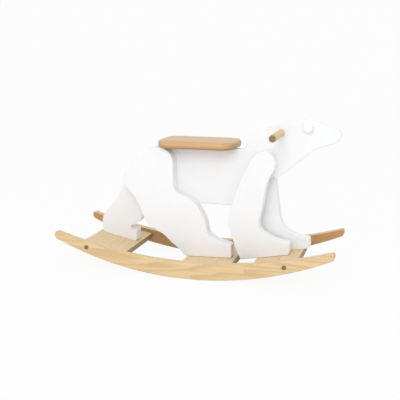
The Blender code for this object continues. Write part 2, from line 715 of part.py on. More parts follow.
clear_scene()
TOY = new_collection("rocking_polar_bear")
CUTTERS = new_collection("cutters")
build_body()
for toy_side in SIDES:
    build_runner(toy_side)
    build_leg_board("haunch", toy_side, rump() + hind_leg(toy_side) + haunch_front(toy_side), "hind")
    build_leg_board("shoulder", toy_side, foreleg(toy_side) + shoulder_top(toy_side), "fore")
    build_ear(toy_side)
for slat_name, slat_span in (("rear", REAR_SLAT_X), ("middle", MIDDLE_SLAT_X), ("front", FRONT_SLAT_X)):
    build_slat(slat_name, slat_span)
build_seat()
build_handle()
build_dowels()
build_screws()
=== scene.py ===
"""Looks of the rocking polar bear toy: fine boards, paint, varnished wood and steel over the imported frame.

Metres, +Z up, +X to the bear's nose, in the frame's own coordinates.
"""

import logging
import math
from dataclasses import dataclass, replace
from enum import Enum
from typing import Union

import bpy
import numpy as np
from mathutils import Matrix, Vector


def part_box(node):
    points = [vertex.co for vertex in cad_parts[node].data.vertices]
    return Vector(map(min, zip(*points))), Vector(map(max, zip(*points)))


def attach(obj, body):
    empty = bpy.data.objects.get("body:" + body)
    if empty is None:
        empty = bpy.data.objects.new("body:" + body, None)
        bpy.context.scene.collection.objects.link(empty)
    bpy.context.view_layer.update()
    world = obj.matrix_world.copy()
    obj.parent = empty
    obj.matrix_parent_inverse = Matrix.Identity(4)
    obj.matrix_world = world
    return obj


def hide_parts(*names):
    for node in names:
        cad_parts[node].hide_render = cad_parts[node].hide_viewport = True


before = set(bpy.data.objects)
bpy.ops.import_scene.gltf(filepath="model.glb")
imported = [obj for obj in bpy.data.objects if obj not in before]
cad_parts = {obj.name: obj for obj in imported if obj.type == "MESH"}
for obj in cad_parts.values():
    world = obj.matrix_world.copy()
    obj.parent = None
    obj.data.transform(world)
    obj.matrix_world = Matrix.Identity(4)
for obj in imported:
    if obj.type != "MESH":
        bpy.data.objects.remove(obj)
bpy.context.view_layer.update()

LOG = logging.getLogger("rocking_polar_bear")

# Gap between pieces that touch
GAP = 0.0003

# Level that the bear's heights are counted from, and the heights of its back and belly over it
STAND_HEIGHT = 0.04165
BACK_HEIGHT = 0.341
BELLY_HEIGHT = 0.163

# Thickness of the board between the legs, and the ends of the seat
BODY_BOARD = 0.019
SEAT_REAR = -0.129
SEAT_FRONT = 0.120

# Samples to a span of an outline, and width of the flat strip that borders each rounded edge
SPAN_SAMPLES = 16
STRIP = 0.0003

# Point of an outline: x, height and whether the outline turns a corner there
OutlinePoint = tuple[float, float, bool]
Outline = list[OutlinePoint]

# Pair of numbers, colour or vector, what shader arithmetic takes, and what an input socket takes
Pair = tuple[float, float]
Triple = tuple[float, float, float]
Operand = Union["Field", float]
Plug = Union[Operand, tuple, bpy.types.NodeSocket]

WHITE: Triple = (1.0, 1.0, 1.0)

# Numbers of a Mix node's sockets when it mixes colours
MIX_FACTOR, MIX_FIRST, MIX_SECOND, MIX_RESULT = 0, 6, 7, 2


class Side(Enum):
    """Side of the bear, as node names give it."""

    RIGHT = "right"
    LEFT = "left"

    def span(self, inner: float, outer: float) -> Pair:
        """Low and high Y of a board between two distances from the middle."""
        return (inner, outer) if self is Side.LEFT else (-outer, -inner)


class Plane(Enum):
    """Plane that an outline is drawn in."""

    UPRIGHT = "x and z"
    LEVEL = "x and y"


class Grain(Enum):
    """Direction of the wood grain."""

    X = (1.0, 0.0, 0.0)
    Y = (0.0, 1.0, 0.0)
    Z = (0.0, 0.0, 1.0)

    def stretch(self, along: float, across: float) -> Triple:
        """Scale of X, Y and Z, with one value along the grain and another across it."""
        return tuple(along if axis else across for axis in self.value)


# Shader graphs


class Field:
    """Value output of a shader node, with arithmetic that adds Math nodes."""

    def __init__(self, graph: "Graph", socket: bpy.types.NodeSocket) -> None:
        """Keep the graph and the output socket.

        Args:
            graph: graph that the socket belongs to.
            socket: output socket with a value.
        """
        self.graph = graph
        self.socket = socket

    def math(self, operation: str, *values: Operand) -> "Field":
        """Run one Math node.

        Args:
            operation: name of the Math operation.
            values: all of its inputs, in order.

        Returns:
            The node's value.
        """
        return self.graph.node("ShaderNodeMath", {"operation": operation}, dict(enumerate(values)))

    def __add__(self, other: Operand) -> "Field":
        """Return the sum."""
        return self.math("ADD", self, other)

    def __sub__(self, other: Operand) -> "Field":
        """Return the difference."""
        return self.math("SUBTRACT", self, other)

    def __mul__(self, other: Operand) -> "Field":
        """Return the product."""
        return self.math("MULTIPLY", self, other)

    def __radd__(self, other: float) -> "Field":
        """Return the sum with a number on the left."""
        return self.math("ADD", other, self)

    def __rsub__(self, other: float) -> "Field":
        """Return a number minus this."""
        return self.math("SUBTRACT", other, self)

    def __rmul__(self, other: float) -> "Field":
        """Return the product with a number on the left."""
        return self.math("MULTIPLY", other, self)

    def ramp(self, low: float, high: float, start: float = 0.0, end: float = 1.0) -> "Field":
        """Map one range to another smoothly, held at both ends.

        Args:
            low: value that gives start.
            high: value that gives end.
            start: result at low.
            end: result at high.

        Returns:
            The mapped value.
        """
        settings = {"interpolation_type": "SMOOTHSTEP", "clamp": True}
        links = {"Value": self, "From Min": low, "From Max": high, "To Min": start, "To Max": end}
        return self.graph.node("ShaderNodeMapRange", settings, links, "Result")


class Graph:
    """Node tree of a material or a world."""

    def __init__(self, owner: bpy.types.Material | bpy.types.World) -> None:
        """Keep the tree with its first shader and its output.

        Args:
            owner: new material or world.
        """
        owner.use_nodes = True
        self.owner = owner
        self.tree = owner.node_tree
        self.shader = next(node for node in self.tree.nodes if not node.type.startswith("OUTPUT"))
        self.output = next(node for node in self.tree.nodes if node.type.startswith("OUTPUT"))

    def plug(self, socket: bpy.types.NodeSocket, value: Plug) -> None:
        """Set an input socket or link something to it.

        Args:
            socket: input socket.
            value: number, vector, colour without alpha, socket or field.
        """
        if isinstance(value, Field):
            self.tree.links.new(value.socket, socket)
        elif isinstance(value, bpy.types.NodeSocket):
            self.tree.links.new(value, socket)
        else:
            socket.default_value = (*value, 1.0) if socket.type == "RGBA" else value

    def feed(self, name: str, value: Plug) -> None:
        """Set or link an input of the shader."""
        self.plug(self.shader.inputs[name], value)

    def node(self, kind: str, settings: dict, links: dict, output: Union[str, int] = 0) -> Field:
        """Add one node.

        Args:
            kind: type of the node.
            settings: properties of the node.
            links: value or link of each input, by name or number.
            output: name or number of the output to return.

        Returns:
            The chosen output as a field.
        """
        node = self.tree.nodes.new(kind)
        for key, value in settings.items():
            setattr(node, key, value)
        for key, value in links.items():
            self.plug(node.inputs[key], value)
        return Field(self, node.outputs[output])

    def place(self, stretch: Triple = (1.0, 1.0, 1.0), shift: Triple = (0.0, 0.0, 0.0)) -> Field:
        """Object coordinates, scaled along each axis.

        Args:
            stretch: scale along X, Y and Z.
            shift: offset after scaling.

        Returns:
            The coordinates.
        """
        coordinates = self.node("ShaderNodeTexCoord", {}, {}, "Object")
        links = {"Vector": coordinates, "Scale": stretch, "Location": shift}
        return self.node("ShaderNodeMapping", {}, links)

    def parts(self, vector: Field) -> list[Field]:
        """Split a vector into its parts along X, Y and Z."""
        split = self.node("ShaderNodeSeparateXYZ", {}, {0: vector})
        return [Field(self, output) for output in split.socket.node.outputs]

    def noise(self, place: Field, scale: float, detail: float = 2.0, warp: float = 0.0) -> Field:
        """Noise between 0 and 1 at a place.

        Args:
            place: coordinates.
            scale: cells in a unit of the coordinates.
            detail: octaves.
            warp: distortion.

        Returns:
            The noise.
        """
        links = {"Vector": place, "Scale": scale, "Detail": detail, "Distortion": warp}
        return self.node("ShaderNodeTexNoise", {"noise_dimensions": "3D"}, links, "Fac")

    def blend(self, factor: Plug, first: Plug, second: Plug) -> Field:
        """Mix two colours.

        Args:
            factor: share of the second colour.
            first: first colour.
            second: second colour.

        Returns:
            The mixed colour.
        """
        links = {MIX_FACTOR: factor, MIX_FIRST: first, MIX_SECOND: second}
        return self.node("ShaderNodeMix", {"data_type": "RGBA"}, links, MIX_RESULT)

    def relief(self, height: Field, distance: float, strength: float, under: Field | None = None) -> Field:
        """Bump from a height between 0 and 1.

        Args:
            height: height field.
            distance: height in metres that 1 stands for.
            strength: strength of the bump.
            under: normal to add to.

        Returns:
            The normal.
        """
        links: dict = {"Height": height, "Distance": distance, "Strength": strength}
        if under is not None:
            links["Normal"] = under
        return self.node("ShaderNodeBump", {}, links, "Normal")


# Finishes


@dataclass(frozen=True)
class SatinPaint:
    """White satin paint rolled over planed boards, with faint grain under it.

    Each scale is in cells to a metre, each depth in metres, and each tint is a share of the shade. A stretch
    gives the scale along and across the grain.
    """

    name: str = "white_satin_paint"
    grain: Grain = Grain.X
    colour: Triple = (0.898, 0.906, 0.918)
    shade: Triple = (0.862, 0.870, 0.882)
    roughness: float = 0.44
    unevenness: float = 0.10
    specular: float = 0.45
    fibre_stretch: Pair = (3.0, 60.0)
    fibre_scale: float = 3.2
    fibre_tint: float = 0.25
    fibre_depth: float = 0.00022
    cloud_scale: float = 9.0
    cloud_tint: float = 0.35
    roller_scale: float = 900.0
    roller_depth: float = 0.00006

    def make(self) -> bpy.types.Material:
        """Build the material.

        Returns:
            The material.
        """
        graph = Graph(bpy.data.materials.new(f"{self.name}_{self.grain.name}"))
        along = self.grain.stretch(*self.fibre_stretch)
        fibres = graph.noise(graph.place(along), self.fibre_scale, detail=4.0, warp=0.4)
        clouds = graph.noise(graph.place(shift=(3.1, 1.7, 0.4)), self.cloud_scale, detail=3.0)
        roller = graph.noise(graph.place(), self.roller_scale)
        tone = clouds.ramp(0.35, 0.70) * self.cloud_tint + fibres.ramp(0.45, 0.75) * self.fibre_tint
        graph.feed("Base Color", graph.blend(tone, self.colour, self.shade))
        sheen = self.roughness + (roller - 0.5) * self.unevenness + (clouds - 0.5) * self.unevenness
        graph.feed("Roughness", sheen)
        under = graph.relief(fibres, self.fibre_depth, strength=0.55)
        graph.feed("Normal", graph.relief(roller, self.roller_depth, strength=0.6, under=under))
        graph.feed("Specular IOR Level", self.specular)
        return graph.owner


@dataclass(frozen=True)
class VarnishedWood:
    """Wood with growth rings, fine pores and a satin varnish, deeper in tone on end grain; the same deep tone
    also paints shade on chosen faces.

    The shares say how much of the deep tone a face takes that looks along X, Y or Z, that looks to the middle
    of the toy, or that looks down. On the grain's axis that tone is end grain; on another axis it is painted
    shade on cut edges, and the inner and under shares are painted shade on faces turned to the middle and on
    faces that look down. Rings lie round a heart line along the grain. A stretch gives the scale along and
    across the grain, and each tint is a share of the dark colour.
    """

    name: str
    light: Triple
    dark: Triple
    grain: Grain
    # Colour of end grain, also used as painted shade on cut edges, inner faces and faces that look down
    deep: Triple = (0.260, 0.175, 0.080)
    shares: Triple = (0.0, 0.0, 0.0)
    # Shares of painted shade on faces that look to the middle of the toy and on faces that look down
    inner_shade_share: float = 0.0
    under_shade_share: float = 0.0
    roughness: float = 0.42
    coat: float = 0.25
    coat_roughness: float = 0.25
    contrast: float = 0.75
    heart: Triple = (0.013, 0.041, 0.027)
    ring_scale: float = 95.0
    ring_drift: float = 9.0
    ring_wander: float = 1.4
    ring_tint: float = 0.50
    cloud_stretch: Pair = (0.55, 7.0)
    cloud_tint: float = 0.25
    pore_stretch: Pair = (22.0, 620.0)
    pore_tint: float = 0.22
    unevenness: float = 0.08
    pore_roughness: float = 0.10
    depth: float = 0.00010

    def deep_and_shade_share(self, graph: Graph) -> Field:
        """Share of the deep tone: end grain, and painted shade.

        It is the sum of the squared parts of the normal, each times the share of its axis; on the grain's
        axis this is end grain, on another axis it is painted shade on cut edges. Minus Y times the normal's
        part along
        Y, which is positive on faces that look to the middle, adds the inner share as painted shade, and
        minus the normal's part along Z adds the under share as painted shade on faces that look down.

        Args:
            graph: graph of the material.

        Returns:
            The share.
        """
        normal = graph.parts(graph.node("ShaderNodeNewGeometry", {}, {}, "Normal"))
        along_x, along_y, along_z = (part * part * share for part, share in zip(normal, self.shares))
        inward = 0.0 - graph.parts(graph.place())[1] * normal[1]
        inner = inward.ramp(0.04, 0.11, end=self.inner_shade_share)
        under = (0.0 - normal[2]).ramp(-0.10, 0.75, end=self.under_shade_share)
        return along_x + along_y + along_z + inner + under

    def make(self) -> bpy.types.Material:
        """Build the material.

        Returns:
            The material.
        """
        graph = Graph(bpy.data.materials.new(self.name))
        along = self.grain.stretch(*self.cloud_stretch)
        drift = graph.noise(graph.place(along, (0.37, 0.11, 0.73)), scale=1.6, detail=3.0, warp=0.3)
        clouds = graph.noise(graph.place(along), scale=4.5, detail=3.0, warp=0.6)
        across = graph.place(self.grain.stretch(0.0, 1.0), self.heart)
        distance = graph.node("ShaderNodeVectorMath", {"operation": "LENGTH"}, {0: across}, "Value")
        phase = distance * self.ring_scale + drift * self.ring_drift + clouds * self.ring_wander
        ring = phase.math("FRACT", phase)
        late = ring.ramp(0.25, 0.92) * (1.0 - ring.ramp(0.93, 1.0))
        pores = graph.noise(graph.place(self.grain.stretch(*self.pore_stretch)), scale=1.0).ramp(0.56, 0.74)
        tone = late * self.ring_tint + clouds.ramp(0.35, 0.75) * self.cloud_tint + pores * self.pore_tint
        colour = graph.blend(tone * self.contrast, self.light, self.dark)
        # Deep tone for end grain, and painted shade on inner faces, downward faces and cut edges
        deep = self.deep_and_shade_share(graph) * (0.88 + pores * 0.12)
        graph.feed("Base Color", graph.blend(deep, colour, self.deep))
        sheen = self.roughness + pores * self.pore_roughness + (clouds - 0.5) * self.unevenness
        graph.feed("Roughness", sheen)
        height = (1.0 - pores) * 0.7 + (1.0 - late) * 0.3
        graph.feed("Normal", graph.relief(height, self.depth, strength=0.5))
        graph.feed("Coat Weight", self.coat)
        graph.feed("Coat Roughness", self.coat_roughness)
        return graph.owner


@dataclass(frozen=True)
class DarkSteel:
    """Dark yellowish steel with faint wear; each scale is in cells to a metre, the depth in metres."""

    name: str = "dark_steel"
    colour: Triple = (0.235, 0.195, 0.105)
    worn: Triple = (0.380, 0.330, 0.215)
    wear: float = 0.6
    roughness: float = 0.42
    unevenness: float = 0.25
    metallic: float = 0.75
    cloud_scale: float = 420.0
    scratch_scale: float = 800.0
    scratch_depth: float = 0.00003

    def make(self) -> bpy.types.Material:
        """Build the material.

        Returns:
            The material.
        """
        graph = Graph(bpy.data.materials.new(self.name))
        clouds = graph.noise(graph.place(), self.cloud_scale, detail=3.0)
        scratches = graph.noise(graph.place((1.0, 1.0, 7.0)), self.scratch_scale)
        worn = clouds.ramp(0.52, 0.75) * self.wear
        graph.feed("Base Color", graph.blend(worn, self.colour, self.worn))
        graph.feed("Roughness", self.roughness + (scratches - 0.5) * self.unevenness)
        graph.feed("Normal", graph.relief(scratches, self.scratch_depth, strength=0.5))
        graph.feed("Metallic", self.metallic)
        return graph.owner


@dataclass(frozen=True)
class StudioWhite:
    """Pale floor that the camera sees as almost white, with faint contact shadows.

    The glow share says how much of what the camera sees is glow. A ray that a glossy or clear surface sends
    on sees the passed share of that.
    """

    name: str = "studio_floor"
    colour: Triple = (0.88, 0.88, 0.88)
    speckle: float = 0.985
    speckle_scale: float = 40.0
    roughness: float = 0.9
    glow: float = 0.988
    glow_share: float = 0.94
    passed_share: float = 0.5

    def make(self) -> bpy.types.Material:
        """Build the material.

        Returns:
            The material.
        """
        graph = Graph(bpy.data.materials.new(self.name))
        speckles = graph.noise(graph.place(), self.speckle_scale)
        tint = tuple(channel * self.speckle for channel in self.colour)
        graph.feed("Base Color", graph.blend(speckles, self.colour, tint))
        graph.feed("Roughness", self.roughness)
        camera, glossy, clear = (graph.node("ShaderNodeLightPath", {}, {}, f"Is {word} Ray")
                                 for word in ("Camera", "Glossy", "Transmission"))
        seen = camera + glossy * self.passed_share + clear * self.passed_share
        share = seen.ramp(0.0, 1.0, end=self.glow_share)
        glow = graph.node("ShaderNodeEmission", {}, {"Color": WHITE, "Strength": self.glow})
        mixed = graph.node("ShaderNodeMixShader", {}, {0: share, 1: graph.shader.outputs["BSDF"], 2: glow})
        graph.plug(graph.output.inputs["Surface"], mixed)
        return graph.owner


# Surfaces


def smooth_line(points: np.ndarray, samples: int) -> np.ndarray:
    """Smooth open curve through points.

    The direction at a point is the mean of its two chords, each weighted by the other's length; each span is
    the cubic that leaves and reaches its points in these directions.

    Args:
        points: points, one to a row.
        samples: samples to a span.

    Returns:
        The samples without the last point.
    """
    chords = np.diff(points, axis=0)
    lengths = np.hypot(chords[:, 0], chords[:, 1])[:, None]
    along = chords / lengths
    middle = (along[:-1] * lengths[1:] + along[1:] * lengths[:-1]) / (lengths[:-1] + lengths[1:])
    slopes = np.vstack([along[:1], middle, along[-1:]])
    t = (np.arange(samples) / samples)[None, :, None]
    start, end = points[:-1, None, :], points[1:, None, :]
    leave, reach = (slopes[:-1] * lengths)[:, None, :], (slopes[1:] * lengths)[:, None, :]
    line = (start * (2.0 * t ** 3 - 3.0 * t ** 2 + 1.0) + leave * (t ** 3 - 2.0 * t ** 2 + t)
            + end * (3.0 * t ** 2 - 2.0 * t ** 3) + reach * (t ** 3 - t ** 2))
    return line.reshape(-1, 2)


def even_path(line: np.ndarray, count: int, soften: float) -> np.ndarray:
    """Sample a closed line evenly and soften its corners.

    The samples, as complex numbers, are blurred by a Gaussian of the given width, which leaves straight lines
    alone and rounds corners.

    Args:
        line: closed line, one point to a row, first point not repeated.
        count: samples round the line.
        soften: width of the Gaussian in metres.

    Returns:
        The path, counter-clockwise.
    """
    closed = np.vstack([line, line[:1]])
    reach = np.append(0.0, np.cumsum(np.hypot(*np.diff(closed, axis=0).T)))
    even = np.arange(count) * reach[-1] / count
    samples = np.interp(even, reach, closed[:, 0]) + 1j * np.interp(even, reach, closed[:, 1])
    frequency = np.fft.fftfreq(count, reach[-1] / count)
    samples = np.fft.ifft(np.fft.fft(samples) * np.exp(-2.0 * (np.pi * soften * frequency) ** 2))
    path = np.stack([samples.real, samples.imag], 1)
    after = np.roll(path, -1, axis=0)
    area = np.sum(path[:, 0] * after[:, 1] - path[:, 1] * after[:, 0])
    return path if area > 0.0 else path[::-1]


def outline_path(outline: Outline, count: int, soften: float) -> np.ndarray:
    """Closed path through an outline, with smooth curves between its corners.

    Args:
        outline: points of the outline, at least one of them a corner.
        count: samples round the path.
        soften: width of the Gaussian that rounds the corners.

    Returns:
        The path, counter-clockwise.
    """
    corners = [number for number, point in enumerate(outline) if point[2]]
    turned = outline[corners[0]:] + outline[:corners[0] + 1]
    points = np.array([point[:2] for point in turned])
    breaks = [number - corners[0] for number in corners] + [len(outline)]
    spans = [smooth_line(points[start:end + 1], SPAN_SAMPLES) for start, end in zip(breaks, breaks[1:])]
    return even_path(np.vstack(spans), count, soften)


def outward(path: np.ndarray) -> np.ndarray:
    """Normals of a closed path: the chord between each point's neighbours, turned clockwise by a right angle.

    Args:
        path: closed path, counter-clockwise, without repeated points.

    Returns:
        One unit normal to a row.
    """
    along = np.roll(path, -1, axis=0) - np.roll(path, 1, axis=0)
    along /= np.hypot(along[:, 0], along[:, 1])[:, None]
    return np.stack([along[:, 1], -along[:, 0]], 1)


def new_mesh(name: str, points: np.ndarray, faces: list) -> bpy.types.Object:
    """Make a smooth-shaded object from arrays, with its faces turned out.

    The sum over all triangles of their corners' triple product is six times the signed volume. Where it is
    negative, the faces are flipped.

    Args:
        name: name of the piece.
        points: one vertex to a row.
        faces: vertex numbers of each face.

    Returns:
        The object, linked to the scene.
    """
    mesh = bpy.data.meshes.new(name)
    mesh.from_pydata(points.tolist(), [], faces)
    mesh.polygons.foreach_set("use_smooth", np.ones(len(mesh.polygons), dtype=bool))
    mesh.calc_loop_triangles()
    corners = np.empty(len(mesh.loop_triangles) * 3, dtype=np.int32)
    mesh.loop_triangles.foreach_get("vertices", corners)
    first, second, third = np.moveaxis(points[corners.reshape(-1, 3)], 1, 0)
    if np.sum(first * np.cross(second, third)) < 0.0:
        mesh.flip_normals()
    mesh.update()
    piece = bpy.data.objects.new(name, mesh)
    bpy.context.scene.collection.objects.link(piece)
    return piece


def ring_faces(rings: int, count: int) -> np.ndarray:
    """Quads between neighbouring closed rings, whose vertices are numbered ring by ring.

    Args:
        rings: number of rings.
        count: vertices to a ring.

    Returns:
        One quad to a row.
    """
    ring, step = np.meshgrid(np.arange(rings - 1), np.arange(count), indexing="ij")
    after = (step + 1) % count
    quads = np.stack([ring * count + step, ring * count + after,
                      (ring + 1) * count + after, (ring + 1) * count + step], -1)
    return quads.reshape(-1, 4)


def rounded_board(name: str, path: np.ndarray, span: Pair, low_round: np.ndarray | float,
                  high_round: np.ndarray | float, plane: Plane, steps: int = 7) -> bpy.types.Object:
    """Board whose edge profile is carried along a closed path.

    The surface is a function of the place along the path and of the place on the profile: a flat strip and a
    quarter circle at the low face, the straight edge, and a quarter circle and a flat strip at the high face.
    A profile point at an angle from the face is moved inward along the path's normal by the radius times one
    minus the sine of that angle, and lies below the face by the radius times one minus its cosine.

    Args:
        name: name of the piece.
        path: closed path, counter-clockwise.
        span: low and high end of the thickness.
        low_round: radius at the low face, for the whole path or for each of its points.
        high_round: radius at the high face.
        plane: plane that the path lies in.
        steps: facets of each quarter circle.

    Returns:
        The board.
    """
    count = len(path)
    normals = outward(path)
    angle = np.linspace(0.0, np.pi / 2.0, steps + 1)
    low = np.broadcast_to(np.asarray(low_round, float), (count,))[None, :]
    high = np.broadcast_to(np.asarray(high_round, float), (count,))[None, :]
    inset = np.vstack([low + STRIP, low * (1.0 - np.sin(angle))[:, None],
                       high * (1.0 - np.cos(angle))[:, None], high + STRIP])
    level = np.vstack([np.full((1, count), span[0]), span[0] + low * (1.0 - np.cos(angle))[:, None],
                       span[1] - high * (1.0 - np.sin(angle))[:, None], np.full((1, count), span[1])])
    flat = path[None, :, :] - normals[None, :, :] * inset[:, :, None]
    x, other = np.moveaxis(flat, -1, 0)
    order = (x, level, other) if plane is Plane.UPRIGHT else (x, other, level)
    points = np.stack(order, -1).reshape(-1, 3)
    rings = len(inset)
    caps = [np.arange(count)[::-1].tolist(), ((rings - 1) * count + np.arange(count)).tolist()]
    return new_mesh(name, points, ring_faces(rings, count).tolist() + caps)


def side_board(name: str, path: np.ndarray, side: Side, thickness: float, inner_round: float,
               outer_round: float) -> bpy.types.Object:
    """Upright board beside the body board, with one radius at its inner face and one at its outer face.

    Args:
        name: name of the piece.
        path: closed path, counter-clockwise.
        side: side of the bear.
        thickness: thickness of the board.
        inner_round: radius at the face on the body.
        outer_round: radius at the free face.

    Returns:
        The board.
    """
    inner = BODY_BOARD / 2.0 + GAP
    span = side.span(inner, inner + thickness)
    low_round, high_round = (inner_round, outer_round) if side is Side.LEFT else (outer_round, inner_round)
    return rounded_board(name, path, span, low_round, high_round, Plane.UPRIGHT)


def turned_piece(name: str, profile: np.ndarray, count: int, centre: Vector, sign: float,
                 lobes: np.ndarray | None = None) -> bpy.types.Object:
    """Piece turned about an axis along Y.

    The surface is a function of the place on the profile and of the angle: each point lies at the profile's
    radius, times the lobes' factor, from the axis. A fan of triangles closes each end.

    Args:
        name: name of the piece.
        profile: radius and place along the axis, one point to a row, with radius 0 at both ends.
        count: facets round the axis.
        centre: origin of the profile.
        sign: direction of the axis along Y.
        lobes: factor on the radius, profile point by angle.

    Returns:
        The piece.
    """
    angle = np.linspace(0.0, 2.0 * np.pi, count, endpoint=False)
    inner = profile[1:-1]
    scale = np.ones((len(inner), count)) if lobes is None else lobes
    radius = inner[:, :1] * scale
    points = np.stack([centre.x + radius * np.cos(angle),
                       np.broadcast_to(centre.y + sign * inner[:, 1:], radius.shape),
                       centre.z + radius * np.sin(angle)], -1).reshape(-1, 3)
    poles = np.array([[centre.x, centre.y + sign * profile[0, 1], centre.z],
                      [centre.x, centre.y + sign * profile[-1, 1], centre.z]])
    quads = ring_faces(len(inner), count)
    start, end = len(points), len(points) + 1
    step = np.arange(count)
    after = (step + 1) % count
    last = (len(inner) - 1) * count
    first_fan = np.stack([np.full(count, start), after, step], 1)
    last_fan = np.stack([np.full(count, end), last + step, last + after], 1)
    faces = quads.tolist() + first_fan.tolist() + last_fan.tolist()
    return new_mesh(name, np.vstack([points, poles]), faces)


def dress(piece: bpy.types.Object, material: bpy.types.Material, node: str) -> None:
    """Give a new piece its material, hide the CAD node that it stands for and hang the piece under the root
    body.

    Args:
        piece: new piece.
        material: material of the piece.
        node: CAD node that it replaces.
    """
    piece.data.materials.append(material)
    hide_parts(node)
    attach(piece, "root")
    LOG.info("%s: %d vertices in place of %s", piece.name, len(piece.data.vertices), node)


# Outlines of the bear


def curve(*places: Pair) -> Outline:
    """Outline points without a corner, each from its x and height."""
    return [(x, STAND_HEIGHT + height, False) for x, height in places]


def corner(x: float, height: float) -> OutlinePoint:
    """Outline point at a corner."""
    return (x, STAND_HEIGHT + height, True)


@dataclass
class BearBoards:
    """Body, haunches and shoulders: boards with soft outer edges, painted white."""

    leg_board: float = 0.038
    body_round: float = 0.0036
    leg_round: float = 0.0026
    seam_round: float = 0.0007
    soften: float = 0.0040
    front_fade: float = 0.020
    belly_edge: float = 0.006
    belly_fade: float = 0.004
    body_samples: int = 1800
    leg_samples: int = 900

    def rump(self) -> Outline:
        """Return the outline from the seat's rear end round the rump."""
        return [corner(SEAT_REAR, BACK_HEIGHT), *curve((-0.148, 0.338), (-0.168, 0.3325), (-0.191, 0.320),
                (-0.218, 0.293), (-0.2385, 0.256))]

    def haunch(self, side: Side) -> Outline:
        """Haunch, from the rump down to the foot and up over the thigh to the seat.

        Args:
            side: side of the bear.

        Returns:
            The whole outline.
        """
        leg = [*curve((-0.2765, 0.1945), (-0.2915, 0.1615), (-0.310, 0.1365), (-0.3325, 0.1135),
               (-0.3455, 0.0895), (-0.348, 0.067)), corner(-0.3455, 0.0397), corner(-0.2265, 0.0157),
               corner(-0.2245, 0.056), *curve((-0.235, 0.0565), (-0.246, 0.0585), (-0.250, 0.063),
               (-0.243, 0.069), (-0.228, 0.0755), (-0.214, 0.086), (-0.203, 0.1045), (-0.186, 0.131),
               (-0.160, 0.151), (-0.125, 0.1635))]
        thigh = curve((-0.096, 0.179), (-0.081, 0.207))
        if side is Side.RIGHT:
            leg = [corner(-0.248, 0.2215), *curve((-0.221, 0.194), (-0.201, 0.167), (-0.189, 0.144),
                   (-0.179, 0.118), (-0.160, 0.091), (-0.1365, 0.0755), (-0.113, 0.0635), (-0.086, 0.0395),
                   (-0.061, 0.0205)), corner(-0.0385, -0.0025), corner(0.111, 0.0024),
                   corner(0.1095, 0.0455), *curve((0.091, 0.049), (0.072, 0.0535), (0.054, 0.061),
                   (0.039, 0.072), (0.032, 0.086), (0.029, 0.102), (0.026, 0.116), (0.0185, 0.132),
                   (0.008, 0.150), (-0.0075, 0.170))]
            thigh = curve((-0.0255, 0.1845), (-0.050, 0.1945), (-0.068, 0.203), (-0.076, 0.217))
        top = [*curve((-0.078, 0.2405), (-0.078, 0.272), (-0.0785, 0.3005), (-0.0845, 0.3185),
               (-0.095, 0.331)), corner(-0.113, BACK_HEIGHT)]
        return self.rump() + leg + thigh + top

    def shoulder(self, side: Side) -> Outline:
        """Shoulder, from its rear edge down to the foot, up the front edge and round its top.

        Args:
            side: side of the bear.

        Returns:
            The whole outline.
        """
        leg = [*curve((0.156, 0.1695), (0.160, 0.1345), (0.1715, 0.094), (0.1915, 0.0605)),
               corner(0.2055, 0.0126), corner(0.346, 0.0382), corner(0.345, 0.0685), *curve((0.325, 0.0705),
               (0.3045, 0.075), (0.284, 0.084), (0.2705, 0.093), (0.2595, 0.1055), (0.253, 0.122),
               (0.2485, 0.144), (0.2435, 0.1755), (0.240, 0.2005), (0.237, 0.2255), (0.2345, 0.250))]
        rear = curve((0.149, 0.250), (0.151, 0.210))
        if side is Side.RIGHT:
            leg = [*curve((0.1225, 0.205), (0.110, 0.170), (0.103, 0.144), (0.101, 0.1215), (0.1035, 0.0995),
                   (0.110, 0.0775), (0.118, 0.056), (0.1255, 0.034)), corner(0.141, 0.0008),
                   corner(0.291, 0.0282), corner(0.2905, 0.0655), *curve((0.2665, 0.0675), (0.245, 0.073),
                   (0.2235, 0.082), (0.207, 0.0935), (0.1975, 0.1065), (0.1965, 0.1235), (0.1995, 0.1395),
                   (0.204, 0.160), (0.2085, 0.1825), (0.212, 0.207), (0.2155, 0.229), (0.2205, 0.249),
                   (0.2295, 0.268))]
            rear = curve((0.141, 0.2585), (0.130, 0.230))
        top = curve((0.2395, 0.288), (0.2425, 0.3095), (0.2345, 0.330), (0.2135, 0.3425), (0.189, 0.3365),
                    (0.170, 0.315), (0.155, 0.2865))
        return leg + top + rear

    def body_outline(self) -> Outline:
        """Torso, neck and head.

        Returns:
            The outline from the seat's rear end round the rump, along the belly and over the head.
        """
        underside = [corner(-0.248, 0.2215), corner(-0.190, BELLY_HEIGHT), corner(0.188, BELLY_HEIGHT),
                     corner(0.203, 0.2555), corner(0.2475, 0.2595)]
        head = [*curve((0.2625, 0.2705), (0.2935, 0.2965), (0.326, 0.3255), (0.3575, 0.348),
                (0.3925, 0.3615), (0.417, 0.371), (0.429, 0.3845), (0.4305, 0.3985), (0.4215, 0.4085),
                (0.4055, 0.4135), (0.388, 0.418), (0.3695, 0.427), (0.3505, 0.433), (0.3215, 0.4355),
                (0.269, 0.431), (0.222, 0.4205), (0.1785, 0.4025), (SEAT_FRONT + 0.0345, 0.3775)),
                corner(SEAT_FRONT + 0.0195, BACK_HEIGHT)]
        return self.rump() + underside + head

    def body(self) -> bpy.types.Object:
        """Body board, whose edges are rounded where they are free.

        The radius grows smoothly along the path from the seam radius to the full one, in front of the seat
        and down to the belly.

        Returns:
            The body.
        """
        path = outline_path(self.body_outline(), self.body_samples, self.soften)
        ahead = np.clip((path[:, 0] - SEAT_FRONT) / self.front_fade, 0.0, 1.0)
        edge = STAND_HEIGHT + BELLY_HEIGHT + self.belly_edge
        below = np.clip((edge - path[:, 1]) / self.belly_fade, 0.0, 1.0)
        free = np.maximum(ahead, below)
        radius = self.seam_round + (self.body_round - self.seam_round) * free * free * (3.0 - 2.0 * free)
        half = BODY_BOARD / 2.0
        return rounded_board("bear_body", path, (-half, half), radius, radius, Plane.UPRIGHT)

